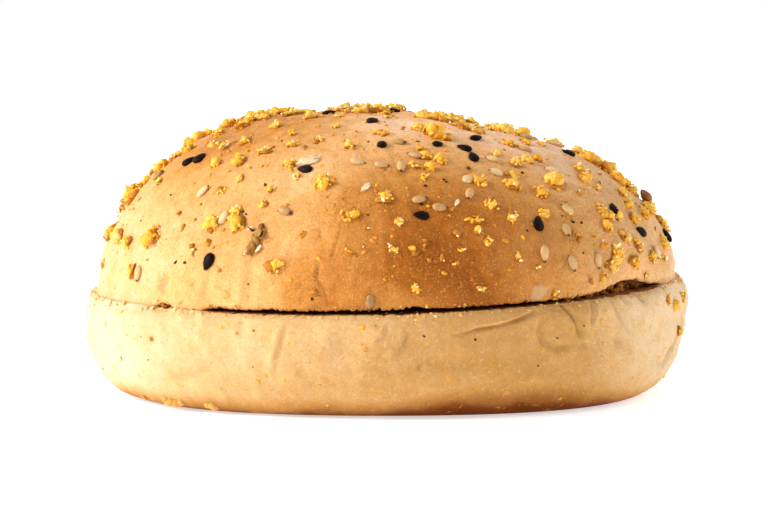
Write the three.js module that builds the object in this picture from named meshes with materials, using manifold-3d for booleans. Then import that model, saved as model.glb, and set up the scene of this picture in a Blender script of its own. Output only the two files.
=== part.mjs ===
// A seeded burger bun, sliced across: a domed crown that rests on a flat-based heel.
// Millimetres, +Z up. The origin is the middle of the base, and the front faces -Y.
// Angles are in degrees round the bun, from the front, and grow towards +X.
import * as THREE from "three";
import { mergeVertices } from "three/addons/utils/BufferGeometryUtils.js";
import Module from "manifold-3d";

const wasm = await Module();
wasm.setup();

// The bun as baked
const bunRadius = 57.3; // at its widest, where the heel bulges
const bunHeight = 53; // base to the top of the crust, without toppings
const baseRadius = 46.2; // the flat that stood on the baking tray
const baseCorners = 3.6; // the flat is this much wider on its four diagonals
const bulgeHeight = 16.5; // height of the widest place
const crownRadius = 55; // the crown's lower edge
const domeFullness = 0.92; // 1 is a half ellipse, and less has fuller shoulders
const crownLean = -8; // the very top lies this far to the left
const leanPower = 4; // the lean comes in only near the top

// The knife's cut, and the slit that it leaves
const cutHeight = 19.6; // middle of the cut
const cutRise = 1.5; // the cut is this much higher at the right edge
const cutSag = 0.5; // and this much lower at the front and back
const heelRim = 56.1; // radius of the heel's upper edge
const restGap = 0.4; // crumb to crumb, where the crown lies on the heel
const slitDepth = 0.55; // share of the radius where the slit starts to open
const slitOpenings = [
  { angle: -47, spread: 4, height: 0.6 },
  { angle: 0, spread: 34, height: 0.4 },
  { angle: 54, spread: 8, height: 1.6 },
  { angle: 165, spread: 45, height: 0.5 },
];

// Slow waves round the bun: how many in a turn, how high in mm, and where they start
const waves = [
  { count: 2, height: 0.35, start: -90 },
  { count: 3, height: 0.3, start: 90 },
  { count: 5, height: 0.25, start: 90 },
];

// Creases and dents in the side, each along a line from one height to another. turn is how many
// degrees the line moves round on its way up, width its half-width in mm, and depth how deep it is.
const heelFolds = [
  { angle: -44, low: 5, high: 9.5, turn: 13, width: 2.4, depth: 0.9 },
  { angle: -20, low: 9, high: 19, turn: 2, width: 2.2, depth: 0.5 },
  { angle: -8, low: 9, high: 16, turn: 1, width: 3.2, depth: 0.8 },
  { angle: 30, low: 1.5, high: 5, turn: 6, width: 4.5, depth: 1 },
  { angle: 37, low: 12, high: 21, turn: -3, width: 2.2, depth: 1 },
  { angle: 50, low: 12, high: 21, turn: -4, width: 2.4, depth: 0.9 },
  { angle: 63, low: 3, high: 11, turn: 7, width: 2.6, depth: 1.5 },
];
const crownFolds = [
  { angle: -48, low: 20, high: 26, turn: 1, width: 2.4, depth: 0.9 },
  { angle: -27, low: 19, high: 30, turn: -1, width: 2.6, depth: 0.6 },
  { angle: -11, low: 22, high: 35, turn: 5, width: 2.4, depth: 0.8 },
  { angle: 18, low: 20, high: 28, turn: 2, width: 3, depth: 0.6 },
  { angle: 46, low: 21, high: 34, turn: -3, width: 3.2, depth: 0.6 },
];
// More of them, spread round the back, each drawn from these ranges
const backFolds = {
  first: 96,
  last: 256,
  count: 11,
  wander: 5, // degrees to either side
  rise: [5, 10],
  turn: [-4, 4],
  width: [2, 3.4],
  depth: [0.4, 1.2],
};
const foldFade = { inner: 0.6, outer: 0.85 }; // shares of the radius where folds fade in
const baseFade = 2; // mm above the base where they do, so that it stays flat

// Toppings, the largest pieces only
const toppingCount = 112;
const toppingReach = 0.955; // share of the crown's radius that they cover
const toppingWander = 3; // degrees to either side of an even spread
const goldenAngle = 180 * (3 - Math.sqrt(5));
const seedEvery = 3; // every third topping is a seed and the rest are corn grits
const linseedEvery = 44;
const gritHalfLength = [1.1, 2.1];
const gritThickness = 0.66; // share of its length
const gritUneven = 0.22; // share by which a grit's corners stand out or fall back
const sesame = { length: 3.2, width: 1.9, thickness: 1.1 };
const linseed = { length: 4.6, width: 2.4, thickness: 1.3 };
const seedBlunt = 1.15; // the blunt end's width, and how much narrower the tip is
const seedTaper = 0.6;
const sunken = 0.3; // share of a topping's thickness that is pressed into the crust
const strayGrits = [
  { angle: -44, height: 2.4 },
  { angle: -36, height: 2.6 },
  { angle: 84, height: 17 },
  { angle: 88, height: 12 },
  { angle: 138, height: 15 },
  { angle: 205, height: 13.5 },
]; // the few that stuck to the heel

// Facets
const segmentsAround = 96;
const heelSteps = { under: 6, over: 3 }; // from the base to the bulge, and on to the rim
const domeSteps = 17;
const faceRings = [0.3, 0.62, 0.86]; // shares of the radius, on the cut faces and the base

const { degToRad, euclideanModulo, lerp, smoothstep } = THREE.MathUtils;
const domeHeight = bunHeight - cutHeight;
const mergeDistance = 1e-4;
const smallStep = 0.004; // of an angle or a radius, to find which way a surface faces

// A seeded stream of numbers from 0 to 1, the same on every run.
function seededRandom(seed) {
  let state = seed;
  return () => {
    state = (state + 0x6d2b79f5) | 0;
    let mixed = Math.imul(state ^ (state >>> 15), 1 | state);
    mixed = (mixed + Math.imul(mixed ^ (mixed >>> 7), 61 | mixed)) ^ mixed;
    return ((mixed ^ (mixed >>> 14)) >>> 0) / 4294967296;
  };
}

// The shorter way round from one angle to another, in degrees.
function angleBetween(from, to) {
  return euclideanModulo(to - from + 180, 360) - 180;
}

function bell(distance, spread) {
  return Math.exp(-((distance / spread) ** 2));
}

// How far the outline stands out from a true circle, in mm.
function waveAt(angle) {
  return waves.reduce((sum, w) => sum + w.height * Math.sin(degToRad(w.count * angle + w.start)), 0);
}

// Adds a row of like folds round the back.
function withBackFolds(folds, seed, lowest, highest) {
  const random = seededRandom(seed);
  const between = ([least, most]) => lerp(least, most, random());
  const step = (backFolds.last - backFolds.first) / (backFolds.count - 1);
  const more = Array.from({ length: backFolds.count }, (_, i) => {
    const low = lerp(lowest, highest - backFolds.rise[0], random());
    return {
      angle: backFolds.first + step * i + backFolds.wander * (2 * random() - 1),
      low,
      high: Math.min(highest, low + between(backFolds.rise)),
      turn: between(backFolds.turn),
      width: between(backFolds.width),
      depth: between(backFolds.depth),
    };
  });
  return folds.concat(more);
}

// How deep the folds are at a place on the side, in mm.
function foldDepthAt(folds, angle, height) {
  return folds.reduce((sum, fold) => {
    const along = (height - fold.low) / (fold.high - fold.low);
    const across = degToRad(angleBetween(fold.angle + fold.turn * along, angle)) * bunRadius;
    const past = Math.max(0, fold.low - height, height - fold.high);
    return sum + fold.depth * bell(across, fold.width) * bell(past, fold.width);
  }, 0);
}

// Height of the heel's cut face.
function cutAt(x, y) {
  return cutHeight + (cutRise * x) / bunRadius - (cutSag * (y * y - x * x)) / bunRadius ** 2;
}

// Height of the slit between the two cut faces. It opens towards the rim.
function slitAt(angle, share) {
  const rim = slitOpenings.reduce(
    (sum, o) => sum + o.height * bell(angleBetween(o.angle, angle), o.spread),
    0,
  );
  return restGap + rim * smoothstep(share, slitDepth, 1);
}

// A place on the heel, from its angle and its radius and height on the plain outline.
function heelPoint(angle, radius, height, folds) {
  const share = radius / bunRadius;
  const low = Math.min(1, radius / baseRadius) * (1 - smoothstep(height, 0, bulgeHeight));
  const corner = baseCorners * low * Math.sin(degToRad(2 * angle)) ** 2;
  const fade = smoothstep(share, foldFade.inner, foldFade.outer) * smoothstep(height, 0, baseFade);
  const fold = foldDepthAt(folds, angle, height) * fade;
  const out = radius + corner + waveAt(angle) * share - fold;
  const x = out * Math.sin(degToRad(angle));
  const y = -out * Math.cos(degToRad(angle));
  return new THREE.Vector3(x, y, (height / cutHeight) * cutAt(x, y));
}

// A place on the crown. height counts from its cut face up the dome.
function crownPoint(angle, radius, height, folds) {
  const up = height / domeHeight;
  const share = radius / crownRadius;
  const level = cutHeight + restGap + height;
  const fade = smoothstep(share, foldFade.inner, foldFade.outer);
  const fold = foldDepthAt(folds, angle, level) * fade;
  const out = radius + waveAt(angle) * share - fold;
  const x = out * Math.sin(degToRad(angle)) + crownLean * up ** leanPower;
  const y = -out * Math.cos(degToRad(angle));
  const face = cutAt(x, y) + slitAt(angle, height > 0 ? 1 : share);
  return new THREE.Vector3(x, y, face + up * (bunHeight - face));
}

// Turns an outline of [radius, height] round the Z axis, then moves each vertex to its true place.
function turned(outline, place) {
  const points = outline.map(([radius, height]) => new THREE.Vector2(radius, height));
  const geometry = new THREE.LatheGeometry(points, segmentsAround).rotateX(Math.PI / 2);
  const position = geometry.getAttribute("position");
  for (let i = 0; i < position.count; i++) {
    const [radius, height] = outline[i % outline.length];
    const turn = Math.floor(i / outline.length) % segmentsAround;
    const at = place((360 * turn) / segmentsAround, radius, height);
    position.setXYZ(i, at.x, at.y, at.z);
  }
  return geometry;
}

// The closed surface of a geometry as a solid that can be joined.
function solidOf(geometry) {
  const bare = geometry.clone();
  bare.deleteAttribute("normal");
  bare.deleteAttribute("uv");
  const merged = mergeVertices(bare, mergeDistance);
  return new wasm.Manifold(
    new wasm.Mesh({
      numProp: 3,
      vertProperties: new Float32Array(merged.getAttribute("position").array),
      triVerts: new Uint32Array(merged.getIndex().array),
    }),
  );
}

// Joins toppings to what they lie on. The largest body is kept without any hollow that they seal.
function fused(base, toppings) {
  const joined = toppings.reduce((whole, topping) => whole.add(solidOf(topping)), solidOf(base));
  const body = joined.decompose().sort((a, b) => b.volume() - a.volume())[0];
  const { vertProperties, triVerts } = body.getMesh();
  const geometry = new THREE.BufferGeometry();
  geometry.setAttribute("position", new THREE.BufferAttribute(vertProperties, 3));
  geometry.setIndex(new THREE.BufferAttribute(triVerts, 1));
  geometry.computeVertexNormals();
  return geometry;
}

// A corn grit: a small angular chip with uneven corners.
function gritShape(half, random) {
  const chip = mergeVertices(plain(new THREE.IcosahedronGeometry(half, 0)), mergeDistance);
  const position = chip.getAttribute("position");
  for (let i = 0; i < position.count; i++) {
    const corner = new THREE.Vector3().fromBufferAttribute(position, i);
    corner.multiplyScalar(1 + gritUneven * (2 * random() - 1));
    position.setXYZ(i, corner.x, corner.y, corner.z * gritThickness);
  }
  return chip;
}

// A flat seed, round at one end and pointed at the other.
function seedShape({ length, width, thickness }) {
  const seed = plain(new THREE.SphereGeometry(0.5, 6, 3).rotateZ(Math.PI / 2));
  const position = seed.getAttribute("position");
  for (let i = 0; i < position.count; i++) {
    const along = position.getX(i) + 0.5;
    const taper = seedBlunt - seedTaper * along ** 2;
    position.setXYZ(
      i,
      position.getX(i) * length,
      position.getY(i) * width * taper,
      position.getZ(i) * thickness * taper,
    );
  }
  return seed;
}

function plain(geometry) {
  geometry.deleteAttribute("normal");
  geometry.deleteAttribute("uv");
  return geometry;
}

// Lays a topping on a surface, which pointAt gives from an angle and a share of the way along it.
function laid(topping, thickness, pointAt, angle, share, yaw) {
  const at = pointAt(angle, share);
  const round = pointAt(angle + 360 * smallStep, share).sub(at).normalize();
  const upwards = pointAt(angle, share - smallStep).sub(at);
  const normal = new THREE.Vector3().crossVectors(round, upwards).normalize();
  const side = new THREE.Vector3().crossVectors(normal, round);
  const place = new THREE.Matrix4().makeBasis(round, side, normal);
  place.multiply(new THREE.Matrix4().makeRotationZ(yaw));
  place.setPosition(at.addScaledVector(normal, thickness * (0.5 - sunken)));
  return topping.applyMatrix4(place);
}

// Grits and seeds fall from above, so they lie evenly in plan and thin out on the steep side.
function crownToppings(folds) {
  const random = seededRandom(41);
  const onDome = (angle, share) => {
    const height = domeHeight * Math.sqrt(1 - share ** (2 / domeFullness));
    return crownPoint(angle, crownRadius * share, height, folds);
  };
  return Array.from({ length: toppingCount }, (_, i) => {
    const share = toppingReach * Math.sqrt((i + 0.5) / toppingCount);
    const angle = goldenAngle * i + toppingWander * (2 * random() - 1);
    const yaw = 2 * Math.PI * random();
    const isLinseed = (i + 1) % linseedEvery === 0;
    if (isLinseed || i % seedEvery === 0) {
      const kind = isLinseed ? linseed : sesame;
      return laid(seedShape(kind), kind.thickness, onDome, angle, share, yaw);
    }
    const half = lerp(...gritHalfLength, random());
    return laid(gritShape(half, random), 2 * half * gritThickness, onDome, angle, share, yaw);
  });
}

// side is the heel's outline from the base to the rim.
function heelToppings(side, folds) {
  const random = seededRandom(17);
  const onSide = (angle, share) => {
    const level = cutHeight * (1 - share);
    const next = side.findIndex(([, height]) => height > level);
    const [below, above] = [side[next - 1], side[next]];
    const radius = lerp(below[0], above[0], (level - below[1]) / (above[1] - below[1]));
    return heelPoint(angle, radius, level, folds);
  };
  return strayGrits.map(({ angle, height }) => {
    const half = gritHalfLength[0];
    const yaw = 2 * Math.PI * random();
    const share = 1 - height / cutHeight;
    return laid(gritShape(half, random), 2 * half * gritThickness, onSide, angle, share, yaw);
  });
}

function heelGeometry() {
  const folds = withBackFolds(heelFolds, 5, 3, cutHeight);
  const base = faceRings.map((share) => [share * baseRadius, 0]);
  const under = Array.from({ length: heelSteps.under + 1 }, (_, i) => {
    const turn = ((Math.PI / 2) * i) / heelSteps.under;
    const radius = baseRadius + (bunRadius - baseRadius) * Math.sin(turn);
    return [radius, bulgeHeight * (1 - Math.cos(turn) ** 0.85)];
  });
  const over = Array.from({ length: heelSteps.over }, (_, i) => {
    const up = (i + 1) / heelSteps.over;
    return [bunRadius - (bunRadius - heelRim) * up ** 2, bulgeHeight + (cutHeight - bulgeHeight) * up];
  });
  const face = faceRings.map((share) => [share * heelRim, cutHeight]).reverse();
  const side = [...under, ...over];
  const outline = [[0, 0], ...base, ...side, ...face, [0, cutHeight]];
  const bare = turned(outline, (angle, radius, height) => heelPoint(angle, radius, height, folds));
  return fused(bare, heelToppings(side, folds));
}

function crownGeometry() {
  const folds = withBackFolds(crownFolds, 9, cutHeight, 34);
  const face = faceRings.map((share) => [share * crownRadius, 0]);
  const dome = Array.from({ length: domeSteps }, (_, i) => {
    const turn = ((Math.PI / 2) * i) / domeSteps;
    return [crownRadius * Math.cos(turn) ** domeFullness, domeHeight * Math.sin(turn)];
  });
  const outline = [[0, 0], ...face, ...dome, [0, domeHeight]];
  const bare = turned(outline, (angle, radius, height) => crownPoint(angle, radius, height, folds));
  return fused(bare, crownToppings(folds));
}

function namedMesh(name, geometry, material) {
  const mesh = new THREE.Mesh(geometry, material);
  mesh.name = name;
  return mesh;
}

const bakedCrust = new THREE.MeshStandardMaterial({ color: 0xd8944c, roughness: 0.6, metalness: 0 });
const paleCrust = new THREE.MeshStandardMaterial({ color: 0xe9c189, roughness: 0.75, metalness: 0 });

const bun = new THREE.Group();
bun.add(namedMesh("heel", heelGeometry(), paleCrust));
bun.add(namedMesh("crown", crownGeometry(), bakedCrust));

export default bun;
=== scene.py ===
import math
import random

import bpy
import numpy as np
from mathutils import Matrix, Vector, noise
from mathutils.bvhtree import BVHTree


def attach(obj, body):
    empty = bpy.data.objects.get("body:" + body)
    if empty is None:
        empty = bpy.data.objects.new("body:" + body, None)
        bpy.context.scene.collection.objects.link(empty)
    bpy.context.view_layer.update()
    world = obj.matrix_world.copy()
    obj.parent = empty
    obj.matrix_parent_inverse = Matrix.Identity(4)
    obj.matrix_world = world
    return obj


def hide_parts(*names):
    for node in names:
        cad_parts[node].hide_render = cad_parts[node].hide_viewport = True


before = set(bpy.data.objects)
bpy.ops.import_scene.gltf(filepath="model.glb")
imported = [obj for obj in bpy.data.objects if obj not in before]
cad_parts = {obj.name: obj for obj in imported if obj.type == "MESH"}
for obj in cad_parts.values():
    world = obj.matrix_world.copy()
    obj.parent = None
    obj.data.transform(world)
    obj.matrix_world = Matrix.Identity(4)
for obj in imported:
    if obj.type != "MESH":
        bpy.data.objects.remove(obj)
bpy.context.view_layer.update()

mm = 0.001

# A seeded burger bun, sliced across. Sizes are millimetres, angles are degrees round the bun from
# its front, which faces -Y, and they grow towards +X.
bun = {
    "widest": 57.3,
    "height": 53.0,
    "base": 46.2,
    "baseCorners": 3.6,
    "baseHollow": 0.4,  # mm, so that it stands on the rim of its base
    "bulgeAt": 16.5,
    "bulgeRound": 0.85,
    "crownEdge": 55.0,
    "fullness": 0.92,  # under 1 the dome has fuller shoulders than an ellipse
    "lean": -8.0,
    "leanPower": 4,
    "cut": 19.6,
    "cutRise": 1.5,
    "cutSag": 0.5,
    "heelEdge": 56.1,
    "restGap": 0.4,
    "slitFrom": 0.55,  # share of the way out at which the slit starts to open
}
waves = [(2, 0.35, -90), (3, 0.3, 90), (5, 0.25, 90)]  # count in a turn, mm, start
slitOpenings = [  # angle, spread, mm
    (2, 27, 0.14),
    (5.5, 1.6, 0.5),
    (54.3, 7.5, 1.9),
    (165, 45, 0.5),
]
slitClosed = [(-75, 26.2), (-41, 5.3), (91, 24)]  # angle and half width where the halves still touch
tornEdge = {
    "spacing": 0.7,
    "reach": 1.0,  # how far from the edge it shows
    "seam": 0.35,  # how far the closed seam wanders
    "seamRow": 5.5,
    "crown": {"ragged": 0.7, "row": 3.0, "meet": -0.3, "fill": 0.35},
    "heel": {"ragged": -0.5, "row": 8.0, "meet": 0.2, "fill": 0},
}  # mm, meet and fill being how far a closed edge moves up and out
frontCrowding = 0.45  # how much closer the mesh lies at the front, where the photo shows every crease
domeHeight = bun["height"] - bun["cut"]


def ease(value, low, high):
    t = np.clip((value - low) / (high - low), 0, 1)
    return t * t * (3 - 2 * t)


def bell(distance, spread):
    return np.exp(-((distance / spread) ** 2))


def turnBetween(start, end):
    return (end - start + 180) % 360 - 180


def waveAt(angle):
    return sum(height * np.sin(np.radians(count * angle + start)) for count, height, start in waves)


def cutAt(x, y):
    rise = bun["cutRise"] * x / bun["widest"]
    return bun["cut"] + rise - bun["cutSag"] * (y * y - x * x) / bun["widest"] ** 2


def slitAt(angle, share):
    rim = sum(height * bell(turnBetween(at, angle), spread) for at, spread, height in slitOpenings)
    return bun["restGap"] + rim * ease(share, bun["slitFrom"], 1)


def closedAt(angle):
    return sum(ease(halfWidth - np.abs(turnBetween(at, angle)), 0, 2) for at, halfWidth in slitClosed)


# Creases, dents and flaps: path, width, depth and lip. A path runs over angle and height, depth is
# how far the crust is pressed in along it, and lip is how far it swells beside it, on the left of
# the path as seen from outside.
heelFolds = [
    ([(-21.4, 8.8), (-20.6, 12.4), (-19.9, 15.6), (-18.9, 18.4)], 0.65, -0.42, 0),
    ([(-20.1, 9.2), (-19.4, 12.4), (-18.6, 15.6), (-17.5, 18.8)], 0.28, 0.25, 0),
    ([(-8.5, 9.5), (-7.6, 13.5), (-6.5, 16)], 2.2, 0.5, 0.15),
    ([(-54, 8.2), (-46, 5.8), (-40, 6.4), (-34.9, 8.2), (-28, 10.8)], 1.3, 0.55, 0.5),
    ([(12, 15.7), (16.5, 16.6), (20.5, 16.9), (24, 17.6), (28.5, 18.9)], 0.36, 0.9, 0.75),
    ([(27.5, 18.2), (31, 19.0), (35, 18.4), (37.6, 15.6), (35.2, 12.4)], 0.4, 0.4, -0.5),
    ([(29.2, 18.4), (28.3, 15.4), (29.4, 13.2), (32.4, 11.8), (36.6, 12.4)], 0.36, 0.7, -0.6),
    ([(33.2, 21.2), (35.4, 18.2), (37.2, 15.2), (38.8, 11.6)], 0.36, 0.8, 0.5),
    ([(36.4, 12.4), (40.2, 12.0)], 0.36, 0.6, 0),
    ([(42.4, 20.4), (41.2, 17.6), (40.6, 15.0)], 0.45, 0.8, 0.6),
    ([(46.0, 20.6), (48.0, 17.4), (51.0, 12.8)], 0.45, 0.8, 0.55),
    ([(49.6, 20.2), (51.6, 17.8)], 0.5, 0.8, 0.5),
    ([(54.5, 20.6), (56.4, 17.6)], 0.6, 0.9, 0.4),
    ([(46.5, 13.4), (47.8, 11.2)], 0.9, 0.6, 0),
    ([(72.5, 12.6), (69.5, 9.2), (66.5, 6.8), (64, 5.4)], 0.4, 0.8, 0.25),
    ([(24.5, 2.6), (29.5, 3.8)], 2.4, 0.8, 0),
    ([(-11, 1.2), (-6, 1.6)], 1.8, 0.6, 0),
    ([(1.2, 12.2), (3.0, 14.4), (3.8, 17.0)], 0.4, 0.3, 0.45),
    ([(-2.4, 13.8), (-0.6, 15.6), (0.6, 18.2)], 0.4, 0.2, 0.35),
    ([(5.6, 9.4), (6.2, 11.4)], 0.5, 0.4, 0.2),
    ([(-6.2, 18.0), (-5.2, 14.2), (-5.8, 11.2)], 2.6, 0.5, 0.2),
    ([(-63, 15.5), (-57, 13.2)], 2.0, 0.4, 0.2),
    ([(-27.5, 18.4), (-26.0, 15.5)], 1.2, 0.45, 0.3),
    ([(-38.5, 18.6), (-36.5, 16.8)], 1.0, 0.35, 0.3),
    ([(8.0, 11.5), (15, 10.2), (22, 11.0)], 1.6, 0.3, 0.2),
    ([(78, 15), (74, 12.5)], 1.4, 0.5, 0.3),
]
crownFolds = [
    ([(-10.8, 28.2), (-9.8, 31.2), (-8.9, 35.2), (-6.9, 38.0)], 0.26, 0.1, 0.3),
    ([(-10.6, 21.0), (-11.3, 23.6), (-13.2, 26.0), (-12.6, 29.0)], 0.3, 0.32, 0.15),
    ([(-13.4, 33.0), (-12.6, 33.4)], 0.9, 0.4, 0),
    ([(-26.5, 20.6), (-26.9, 29)], 1.3, 0.35, 0.2),
    ([(-36.3, 21.8), (-36.6, 26)], 1.1, 0.35, 0.2),
    ([(-48.3, 21.5), (-47.5, 25.5)], 1.1, 0.9, 0.25),
    ([(19.9, 20.8), (18.6, 24.4), (17.4, 27.4)], 0.8, 0.4, 0.3),
    ([(1.2, 26.4), (0.8, 34.0)], 0.7, 0.2, 0.15),
    ([(44.5, 22), (46.5, 27.5), (44.5, 33)], 1.8, 0.5, 0.1),
    ([(36, 24), (37, 30), (35, 34)], 0.7, 0.25, 0.2),
    ([(-14, 20.2), (-8, 21.6)], 0.9, 0.3, 0.15),
    ([(28, 37), (30, 42)], 0.5, 0.35, 0.1),
]
moreFolds = {"wander": 14, "rise": (2.5, 9), "width": (0.8, 2.4), "depth": (0.25, 0.8), "lip": (0, 0.5)}
foldReach = 40  # mm from its start within which a fold is worked out


def seededFolds(seed, count, lowest, highest, firstAngle, lastAngle):
    draw = random.Random(seed)
    folds = []
    for i in range(count):
        angle = firstAngle + (lastAngle - firstAngle) * (i + draw.random()) / count
        low = draw.uniform(lowest, highest - moreFolds["rise"][0])
        high = min(highest, low + draw.uniform(*moreFolds["rise"]))
        middle = (low + high) / 2 + draw.uniform(-1, 1)
        bend = draw.uniform(-1, 1) * moreFolds["wander"] / 2
        path = [(angle, low), (angle + bend, middle), (angle + bend * draw.uniform(-0.4, 1.6), high)]
        folds.append((path, *(draw.uniform(*moreFolds[name]) for name in ("width", "depth", "lip"))))
    return folds


# How far the folds push the crust out (+) or in (-), for arrays of angle and height.
def foldRelief(folds, angle, height):
    relief = np.zeros_like(angle)
    for path, width, depth, lip in folds:
        first = path[0][0]
        across = np.radians(turnBetween(first, angle)) * bun["widest"]
        near = np.abs(across) < foldReach
        x, y = across[near], height[near]
        least = np.full_like(x, 1e9)
        side = np.ones_like(x)
        travel = np.zeros_like(x)
        points = [(math.radians(turnBetween(first, a)) * bun["widest"], h) for a, h in path]
        for index, ((ax, ay), (bx, by)) in enumerate(zip(points, points[1:])):
            dx, dy = bx - ax, by - ay
            along = np.clip(((x - ax) * dx + (y - ay) * dy) / (dx * dx + dy * dy), 0, 1)
            away = np.hypot(x - ax - along * dx, y - ay - along * dy)
            closer = away < least
            least = np.where(closer, away, least)
            side = np.where(closer, np.sign(dx * (y - ay) - dy * (x - ax)), side)
            travel = np.where(closer, (index + along) / (len(points) - 1), travel)
        swell = lip * bell(least * side - 1.7 * width, width)
        taper = ease(travel, -0.1, 0.3) * ease(1 - travel, -0.1, 0.3)
        relief[near] += (swell - depth * bell(least, width)) * taper
    return relief


def heelPlace(angle, radius, height, folds):
    share = radius / bun["widest"]
    low = np.minimum(1, radius / bun["base"]) * (1 - ease(height, 0, bun["bulgeAt"]))
    corner = bun["baseCorners"] * low * np.sin(np.radians(2 * angle)) ** 2
    fade = ease(share, 0.6, 0.85) * ease(height, 0, 2)
    out = radius + corner + waveAt(angle) * share + foldRelief(folds, angle, height) * fade
    x = out * np.sin(np.radians(angle))
    y = -out * np.cos(np.radians(angle))
    return np.stack([x, y, height / bun["cut"] * cutAt(x, y)], 1)


def crownPlace(angle, radius, height, folds):
    up = height / domeHeight
    share = radius / bun["crownEdge"]
    level = bun["cut"] + bun["restGap"] + height
    out = radius + waveAt(angle) * share + foldRelief(folds, angle, level) * ease(share, 0.6, 0.85)
    x = out * np.sin(np.radians(angle)) + bun["lean"] * up ** bun["leanPower"]
    y = -out * np.cos(np.radians(angle))
    face = cutAt(x, y) + slitAt(angle, np.where(height > 0.01, 1, share))
    return np.stack([x, y, face + up * (bun["height"] - face)], 1)


# Unevenness of the torn edge, up and down, in mm. row tells the two halves apart.
def raggedAt(angle, row):
    around = math.radians(1) * bun["crownEdge"] / tornEdge["spacing"]
    return np.array([noise.fractal(Vector((a * around, row, 0)), 1.0, 2.2, 3) for a in angle])


# Tears the edge unevenly. Where the halves still touch, both edges wander together and fill out.
def tearEdge(placed, angle, radius, edge, closed, nearEdge, tear):
    lip = crust["lipRound"]
    ragged = tear["ragged"] * np.abs(raggedAt(angle, tear["row"])) * (1 - closed)
    together = (tornEdge["seam"] * raggedAt(angle, tornEdge["seamRow"]) + tear["meet"]) * closed
    placed[:, 2] += (ragged + together) * nearEdge
    inner = np.clip(edge - radius, 0, lip) * ease(radius, edge - 1.6 * lip, edge - lip)
    placed[:, :2] *= (1 + (tear["fill"] + 0.5 * inner) * closed * nearEdge / edge)[:, None]


# Shallow wrinkles that run up and down the side, full where share is 1.
def addWrinkles(placed, angle, radius, height, share, kind):
    around = math.radians(1) * bun["widest"] / kind["width"]
    pattern = np.array([
        noise.noise(Vector((math.cos(math.radians(a)) * 9 + a * around, z / kind["tall"], kind["row"])))
        for a, z in zip(angle, height)
    ])
    placed[:, :2] *= (1 + kind["depth"] * pattern * share / np.maximum(radius, 1))[:, None]


# Crumb shows on the cut, but not close to the edge where the halves still touch.
def showsCrumb(onCut, radius, edge, closed):
    return onCut & ~((closed > 0.2) & (radius > edge - 4))


def crowdFront(angle):
    return angle - np.degrees(frontCrowding * np.sin(np.radians(angle)))


def selectNothing():
    bpy.ops.object.select_all(action="DESELECT")


def readPoints(obj):
    flat = np.empty(len(obj.data.vertices) * 3)
    obj.data.vertices.foreach_get("co", flat)
    return flat.reshape(-1, 3)


def writePoints(obj, points):
    obj.data.vertices.foreach_set("co", np.ascontiguousarray(points, dtype=np.float64).ravel())
    obj.data.update()


def selectOpenEdge():
    bpy.ops.mesh.select_mode(type="EDGE")
    bpy.ops.mesh.select_all(action="DESELECT")
    bpy.ops.mesh.select_non_manifold(
        extend=False, use_wire=False, use_boundary=True,
        use_multi_face=False, use_non_contiguous=False, use_verts=False,
    )


# From the open edge, extrudes one band after another through rings of (radius, height) in mm.
def extrudeBands(rings):
    for (radius, height), (nextRadius, nextHeight) in zip(rings, rings[1:]):
        bpy.ops.mesh.extrude_edges_move()
        grow = nextRadius / radius
        bpy.ops.transform.resize(value=(grow, grow, 1), center_override=(0, 0, 0))
        bpy.ops.transform.translate(value=(0, 0, (nextHeight - height) * mm))


halfMesh = {"segments": 64, "levels": 3, "gridSpan": 16}


# Turns rings into one half of the bun, still plain and round. closeFirst
# and closeLast say which open ends get a grid of faces.
def shapeHalf(name, rings, closeFirst, closeLast):
    selectNothing()
    bpy.ops.mesh.primitive_circle_add(
        vertices=halfMesh["segments"], radius=rings[0][0] * mm, location=(0, 0, 0),
        rotation=(0, 0, 0), fill_type="NOTHING",
    )
    half = bpy.context.object
    half.name = name
    bpy.ops.object.mode_set(mode="EDIT")
    bpy.ops.mesh.select_all(action="SELECT")
    bpy.ops.transform.translate(value=(0, 0, rings[0][1] * mm))
    if closeFirst:
        bpy.ops.mesh.fill_grid(span=halfMesh["gridSpan"])
        selectOpenEdge()
    extrudeBands(rings)
    if closeLast:
        bpy.ops.mesh.fill_grid(span=halfMesh["gridSpan"])
    bpy.ops.mesh.select_all(action="SELECT")
    bpy.ops.mesh.normals_make_consistent(inside=False)
    bpy.ops.object.mode_set(mode="OBJECT")
    return half


def refine(half):
    smooth = half.modifiers.new("smooth", "SUBSURF")
    smooth.levels = halfMesh["levels"]
    smooth.render_levels = halfMesh["levels"]
    bpy.ops.object.modifier_apply(modifier=smooth.name)


cutBands = {"first": 0.7, "widening": 1.35, "fewest": 4}


# Closes the knife's cut with bands that get wider towards the hidden middle.
def closeCut(radius, height):
    rings = [(radius, height)]
    step = cutBands["first"]
    while radius > cutBands["fewest"] * step:
        radius -= step
        step *= cutBands["widening"]
        rings.append((radius, height))
    bpy.ops.object.mode_set(mode="EDIT")
    selectOpenEdge()
    extrudeBands(rings)
    bpy.ops.mesh.extrude_edges_move()
    bpy.ops.mesh.merge(type="CENTER")
    bpy.ops.mesh.select_all(action="SELECT")
    bpy.ops.mesh.normals_make_consistent(inside=False)
    bpy.ops.object.mode_set(mode="OBJECT")
    bpy.ops.object.shade_smooth()


# Presses procedural unevenness into the crust, where weight is 1.
def roughen(half, weights, layers):
    group = half.vertex_groups.new(name="crust")
    for index, weight in enumerate(weights):
        group.add([index], float(weight), "REPLACE")
    for name, (size, height) in layers.items():
        pattern = bpy.data.textures.new(half.name + name, "CLOUDS")
        pattern.noise_scale = size * mm
        push = half.modifiers.new(name, "DISPLACE")
        push.texture = pattern
        push.texture_coords = "LOCAL"
        push.direction = "NORMAL"
        push.mid_level = 0.5
        push.strength = height * mm
        push.vertex_group = "crust"
        bpy.ops.object.modifier_apply(modifier=push.name)


def anglesOf(points):
    return np.degrees(np.arctan2(points[:, 0], -points[:, 1]))


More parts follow.
